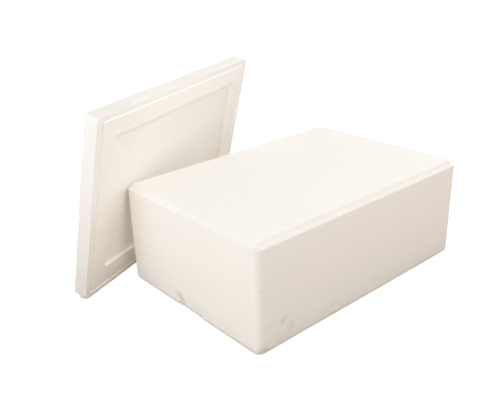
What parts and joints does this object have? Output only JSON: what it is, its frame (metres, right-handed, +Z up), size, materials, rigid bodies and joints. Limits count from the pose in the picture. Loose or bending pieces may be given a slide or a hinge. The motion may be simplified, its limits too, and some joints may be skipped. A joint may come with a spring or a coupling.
{
  "type": "foam box",
  "caption": "Moulded foam insulating box standing upside down, with its flat lid leaning on one corner; keeps packed goods cool and cushioned.",
  "frame": {"origin": "On the floor, in the middle of the ground that the box and the leaning lid take up together.", "axes": "+X runs along the box's long sides, away from the corner that stands nearest to the viewer; +Y runs along its short sides towards the lid; +Z is up. The box stands upside down, with its base on top."},
  "size_m": [0.7194, 0.6274, 0.3961],
  "materials": {
    "box_foam": "off-white expanded polystyrene, matt, with a fine bead pattern",
    "lid_foam": "off-white expanded polystyrene, matt, with a fine bead pattern"
  },
  "bodies": {
    "root": {"box_body": "box_foam", "lid": "lid_foam"}
  },
  "joints": []
}
